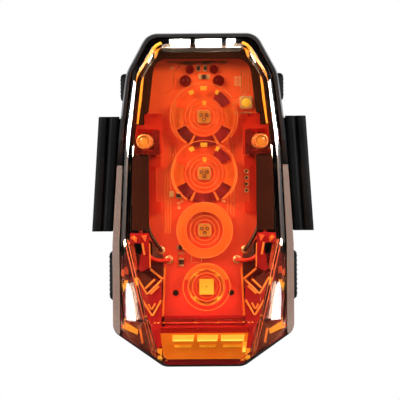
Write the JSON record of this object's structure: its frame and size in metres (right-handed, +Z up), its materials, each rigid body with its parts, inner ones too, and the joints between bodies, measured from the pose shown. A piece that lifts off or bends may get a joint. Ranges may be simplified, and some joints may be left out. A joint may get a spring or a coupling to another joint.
{
  "type": "bicycle tail light",
  "caption": "Clear red-orange bicycle tail light with diodes, two lasers and side buttons, on a rubber strap for a round seat post.",
  "frame": {"origin": "on the seat post's axis, at the middle of the strap's height", "axes": "+X to the right seen from behind the bicycle, +Z up along the seat post, lens facing -Y"},
  "size_m": [0.0522, 0.0576, 0.0784],
  "materials": {
    "lens": "clear red-orange polycarbonate, polished",
    "housing": "black moulded plastic",
    "frosted": "pale frosted plastic",
    "rubber": "black moulded rubber",
    "seal": "soft silicone",
    "battery": "foil pouch",
    "foam": "foam",
    "tray": "black moulded plastic",
    "board": "red-orange solder mask over glass fibre",
    "chip": "black epoxy",
    "solder": "tinned copper pads",
    "optic": "clear acrylic",
    "diode": "ceramic package with clear dome",
    "yellow_diode": "phosphor",
    "dome": "dark clear resin",
    "bezel": "black moulded plastic",
    "holder": "red translucent plastic",
    "barrel": "turned brass",
    "laser_glass": "clear glass",
    "wire_red": "red insulation",
    "wire_black": "black insulation",
    "prism": "red moulded prisms",
    "reflector": "orange prismatic plastic",
    "socket": "plated steel",
    "button": "black rubber"
  },
  "bodies": {
    "root": {"lens_cover": "lens", "rear_housing": "housing", "housing_seal": "seal", "battery_cell": "battery", "battery_tray": "tray", "battery_foam": "foam", "battery_lead_red": "wire_red", "battery_lead_black": "wire_black", "circuit_board": "board", "front_parts": "chip", "back_parts": "chip", "controller_chip": "chip", "boost_inductor": "chip", "lead_pads": "solder", "main_diodes": "diode", "lower_diode": "yellow_diode", "optic_array": "optic", "lower_optic": "optic", "small_domes": "dome", "status_diode": "diode", "inner_bezel": "bezel", "lower_reflector": "reflector", "port_board": "board", "port_header": "chip", "usb_socket": "socket", "saddle_pad": "rubber", "strap_fixed_half": "rubber", "side_diffuser_left": "frosted", "side_diffuser_right": "frosted", "laser_barrel_left": "barrel", "laser_barrel_right": "barrel", "laser_lens_left": "laser_glass", "laser_lens_right": "laser_glass", "laser_diode_left": "diode", "laser_diode_right": "diode", "laser_holder_left": "holder", "laser_holder_right": "holder", "laser_lead_black_left": "wire_black", "laser_lead_black_right": "wire_black", "laser_lead_red_left": "wire_red", "laser_lead_red_right": "wire_red", "side_panel_left": "bezel", "side_panel_right": "bezel", "side_prism_left": "prism", "side_prism_right": "prism", "switch_body_left": "chip", "switch_body_right": "chip", "grip_pad_left": "rubber", "grip_pad_right": "rubber"},
    "button_left": {"side_button_left": "button", "switch_plunger_left": "chip"},
    "button_right": {"side_button_right": "button", "switch_plunger_right": "chip"},
    "port_flap": {"port_cover": "rubber"},
    "strap_free": {"strap_free_half": "rubber"}
  },
  "joints": [
    {"name": "left_button_press", "type": "slide", "parent": "root", "child": "button_left", "axis": [1, 0, 0], "range_m": [0, 0.0006], "stiffness_N_per_m": 3000},
    {"name": "right_button_press", "type": "slide", "parent": "root", "child": "button_right", "axis": [-1, 0, 0], "range_m": [0, 0.0006], "stiffness_N_per_m": 3000},
    {"name": "port_cover_hinge", "type": "hinge", "parent": "root", "child": "port_flap", "pos_m": [0, -0.0167, -0.0314], "axis": [1, 0, 0], "range_deg": [0, 110]},
    {"name": "strap_release", "type": "hinge", "parent": "root", "child": "strap_free", "pos_m": [0, 0.015, 0], "axis": [0, 0, 1], "range_deg": [0, 60]}
  ]
}
